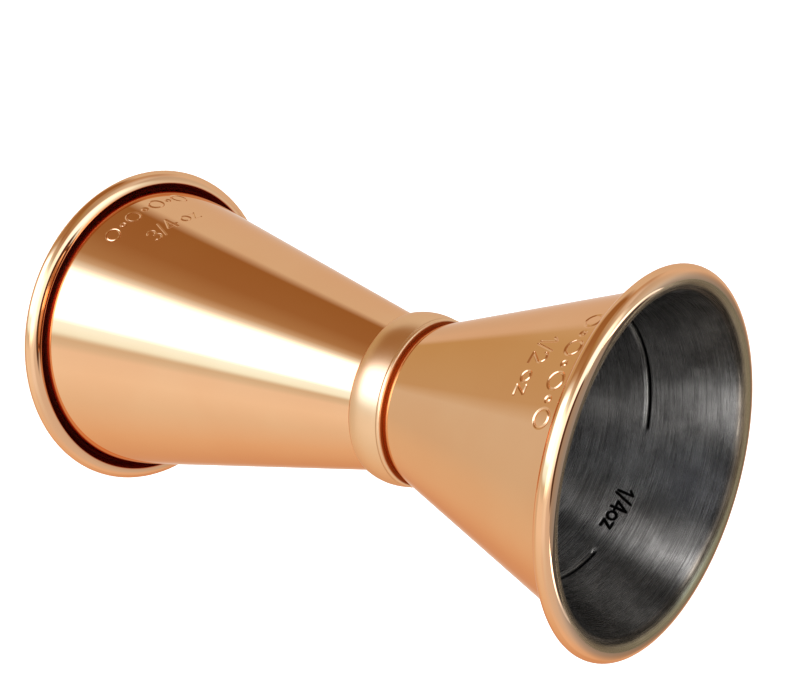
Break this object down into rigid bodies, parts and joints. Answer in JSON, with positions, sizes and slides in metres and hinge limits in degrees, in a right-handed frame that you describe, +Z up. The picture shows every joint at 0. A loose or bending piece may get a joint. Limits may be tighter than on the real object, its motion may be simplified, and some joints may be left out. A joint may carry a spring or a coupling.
{
  "type": "bar jigger",
  "caption": "Double-ended bar jigger: a deep and a shallow cone-shaped measuring cup joined base to base in a waist band, with rolled rims, copper-plated outside and bare steel inside.",
  "frame": {"origin": "centre of the large cup's mouth, in the plane of its rim, on which the jigger stands", "axes": "+Z up the jigger's axis, out of the small cup's mouth; +X and +Y across it, with the gap in the small cup's fill line 74 degrees from +X towards +Y"},
  "size_m": [0.0396, 0.0396, 0.074],
  "materials": {
    "large_cup_steel": "brushed around the axis",
    "small_cup_steel": "brushed around the axis",
    "large_cup_copper": "mirror-polished copper plating",
    "small_cup_copper": "mirror-polished copper plating",
    "band_steel": "turned",
    "band_copper": "satin-polished copper plating",
    "braze_filler": "as flowed"
  },
  "bodies": {
    "root": {"large_cup": "large_cup_steel", "small_cup": "small_cup_steel", "large_cup_plating": "large_cup_copper", "small_cup_plating": "small_cup_copper", "waist_band": "band_steel", "waist_band_plating": "band_copper", "waist_braze": "braze_filler"}
  },
  "joints": []
}
